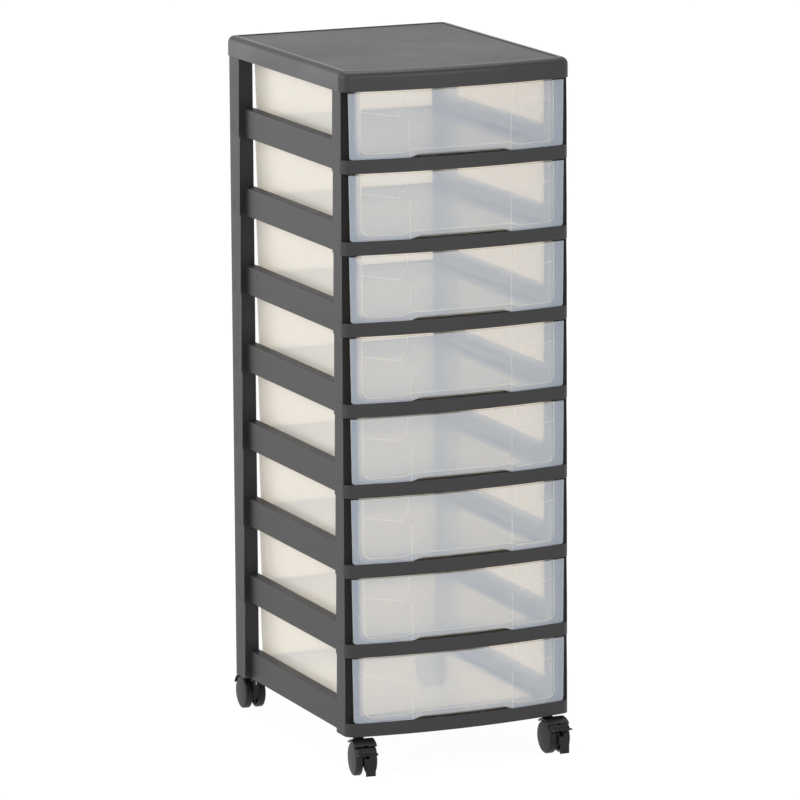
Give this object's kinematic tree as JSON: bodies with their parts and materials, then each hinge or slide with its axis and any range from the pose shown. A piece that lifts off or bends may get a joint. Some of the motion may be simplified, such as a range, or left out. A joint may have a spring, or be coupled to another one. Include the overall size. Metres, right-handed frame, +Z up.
{
  "type": "drawer tower",
  "caption": "Tall tower of stacked plastic frames with clear pull-out drawers behind bowed fronts, a flat cover, and twin-wheel swivel casters with brake pedals in front.",
  "frame": {"origin": "on the floor, under the middle of the whole tower with its casters", "axes": "+Z up, -Y towards the front where the drawers come out, +X to the right seen from the front"},
  "size_m": [0.2894, 0.4016, 0.8295],
  "materials": {
    "cover_plastic": "satin charcoal plastic",
    "frame_plastic": "satin charcoal plastic",
    "clear_plastic": "frosted translucent plastic",
    "caster_plastic": "black nylon",
    "steel": "plain steel"
  },
  "bodies": {
    "tower": {"top_cover": "cover_plastic", "tier_frame_1": "frame_plastic", "tier_frame_2": "frame_plastic", "tier_frame_3": "frame_plastic", "tier_frame_4": "frame_plastic", "tier_frame_5": "frame_plastic", "tier_frame_6": "frame_plastic", "tier_frame_7": "frame_plastic", "tier_frame_8": "frame_plastic", "caster_stem_front_left": "steel", "caster_stem_front_right": "steel", "caster_stem_back_left": "steel", "caster_stem_back_right": "steel"},
    "drawer_1": {"drawer_1": "clear_plastic"},
    "drawer_2": {"drawer_2": "clear_plastic"},
    "drawer_3": {"drawer_3": "clear_plastic"},
    "drawer_4": {"drawer_4": "clear_plastic"},
    "drawer_5": {"drawer_5": "clear_plastic"},
    "drawer_6": {"drawer_6": "clear_plastic"},
    "drawer_7": {"drawer_7": "clear_plastic"},
    "drawer_8": {"drawer_8": "clear_plastic"},
    "caster_front_left": {"caster_housing_front_left": "caster_plastic", "caster_axle_front_left": "steel"},
    "caster_front_right": {"caster_housing_front_right": "caster_plastic", "caster_axle_front_right": "steel"},
    "caster_back_left": {"caster_housing_back_left": "caster_plastic", "caster_axle_back_left": "steel"},
    "caster_back_right": {"caster_housing_back_right": "caster_plastic", "caster_axle_back_right": "steel"},
    "left_wheel_front_left": {"left_wheel_front_left": "caster_plastic"},
    "right_wheel_front_left": {"right_wheel_front_left": "caster_plastic"},
    "left_wheel_front_right": {"left_wheel_front_right": "caster_plastic"},
    "right_wheel_front_right": {"right_wheel_front_right": "caster_plastic"},
    "left_wheel_back_left": {"left_wheel_back_left": "caster_plastic"},
    "right_wheel_back_left": {"right_wheel_back_left": "caster_plastic"},
    "left_wheel_back_right": {"left_wheel_back_right": "caster_plastic"},
    "right_wheel_back_right": {"right_wheel_back_right": "caster_plastic"},
    "brake_pedal_front_left": {"brake_pedal_front_left": "caster_plastic"},
    "brake_pedal_front_right": {"brake_pedal_front_right": "caster_plastic"}
  },
  "joints": [
    {"name": "drawer_1_slide", "type": "slide", "parent": "tower", "child": "drawer_1", "axis": [0, -1, 0], "range_m": [0, 0.27]},
    {"name": "drawer_2_slide", "type": "slide", "parent": "tower", "child": "drawer_2", "axis": [0, -1, 0], "range_m": [0, 0.27]},
    {"name": "drawer_3_slide", "type": "slide", "parent": "tower", "child": "drawer_3", "axis": [0, -1, 0], "range_m": [0, 0.27]},
    {"name": "drawer_4_slide", "type": "slide", "parent": "tower", "child": "drawer_4", "axis": [0, -1, 0], "range_m": [0, 0.27]},
    {"name": "drawer_5_slide", "type": "slide", "parent": "tower", "child": "drawer_5", "axis": [0, -1, 0], "range_m": [0, 0.27]},
    {"name": "drawer_6_slide", "type": "slide", "parent": "tower", "child": "drawer_6", "axis": [0, -1, 0], "range_m": [0, 0.27]},
    {"name": "drawer_7_slide", "type": "slide", "parent": "tower", "child": "drawer_7", "axis": [0, -1, 0], "range_m": [0, 0.27]},
    {"name": "drawer_8_slide", "type": "slide", "parent": "tower", "child": "drawer_8", "axis": [0, -1, 0], "range_m": [0, 0.27]},
    {"name": "caster_front_left_swivel", "type": "hinge", "parent": "tower", "child": "caster_front_left", "pos_m": [-0.122, -0.15825, 0.046], "axis": [0, 0, 1], "continuous": true},
    {"name": "caster_front_right_swivel", "type": "hinge", "parent": "tower", "child": "caster_front_right", "pos_m": [0.122, -0.15825, 0.046], "axis": [0, 0, 1], "continuous": true},
    {"name": "caster_back_left_swivel", "type": "hinge", "parent": "tower", "child": "caster_back_left", "pos_m": [-0.122, 0.16075, 0.046], "axis": [0, 0, 1], "continuous": true},
    {"name": "caster_back_right_swivel", "type": "hinge", "parent": "tower", "child": "caster_back_right", "pos_m": [0.122, 0.16075, 0.046], "axis": [0, 0, 1], "continuous": true},
    {"name": "left_wheel_front_left_spin", "type": "hinge", "parent": "caster_front_left", "child": "left_wheel_front_left", "pos_m": [-0.12407, -0.17512, 0.0198], "axis": [0.9925, -0.1219, 0], "continuous": true},
    {"name": "right_wheel_front_left_spin", "type": "hinge", "parent": "caster_front_left", "child": "right_wheel_front_left", "pos_m": [-0.12407, -0.17512, 0.0198], "axis": [0.9925, -0.1219, 0], "continuous": true},
    {"name": "left_wheel_front_right_spin", "type": "hinge", "parent": "caster_front_right", "child": "left_wheel_front_right", "pos_m": [0.1223, -0.17525, 0.0198], "axis": [0.9998, 0.0175, 0], "continuous": true},
    {"name": "right_wheel_front_right_spin", "type": "hinge", "parent": "caster_front_right", "child": "right_wheel_front_right", "pos_m": [0.1223, -0.17525, 0.0198], "axis": [0.9998, 0.0175, 0], "continuous": true},
    {"name": "left_wheel_back_left_spin", "type": "hinge", "parent": "caster_back_left", "child": "left_wheel_back_left", "pos_m": [-0.12141, 0.17774, 0.0198], "axis": [-0.9994, 0.0349, 0], "continuous": true},
    {"name": "right_wheel_back_left_spin", "type": "hinge", "parent": "caster_back_left", "child": "right_wheel_back_left", "pos_m": [-0.12141, 0.17774, 0.0198], "axis": [-0.9994, 0.0349, 0], "continuous": true},
    {"name": "left_wheel_back_right_spin", "type": "hinge", "parent": "caster_back_right", "child": "left_wheel_back_right", "pos_m": [0.12081, 0.17771, 0.0198], "axis": [-0.9976, -0.0698, 0], "continuous": true},
    {"name": "right_wheel_back_right_spin", "type": "hinge", "parent": "caster_back_right", "child": "right_wheel_back_right", "pos_m": [0.12081, 0.17771, 0.0198], "axis": [-0.9976, -0.0698, 0], "continuous": true},
    {"name": "brake_pedal_front_left_hinge", "type": "hinge", "parent": "caster_front_left", "child": "brake_pedal_front_left", "pos_m": [-0.12529, -0.18505, 0.0318], "axis": [-0.9925, 0.1219, 0], "range_deg": [0, 12]},
    {"name": "brake_pedal_front_right_hinge", "type": "hinge", "parent": "caster_front_right", "child": "brake_pedal_front_right", "pos_m": [0.12247, -0.18525, 0.0318], "axis": [-0.9998, -0.0175, 0], "range_deg": [-12, 0]}
  ]
}
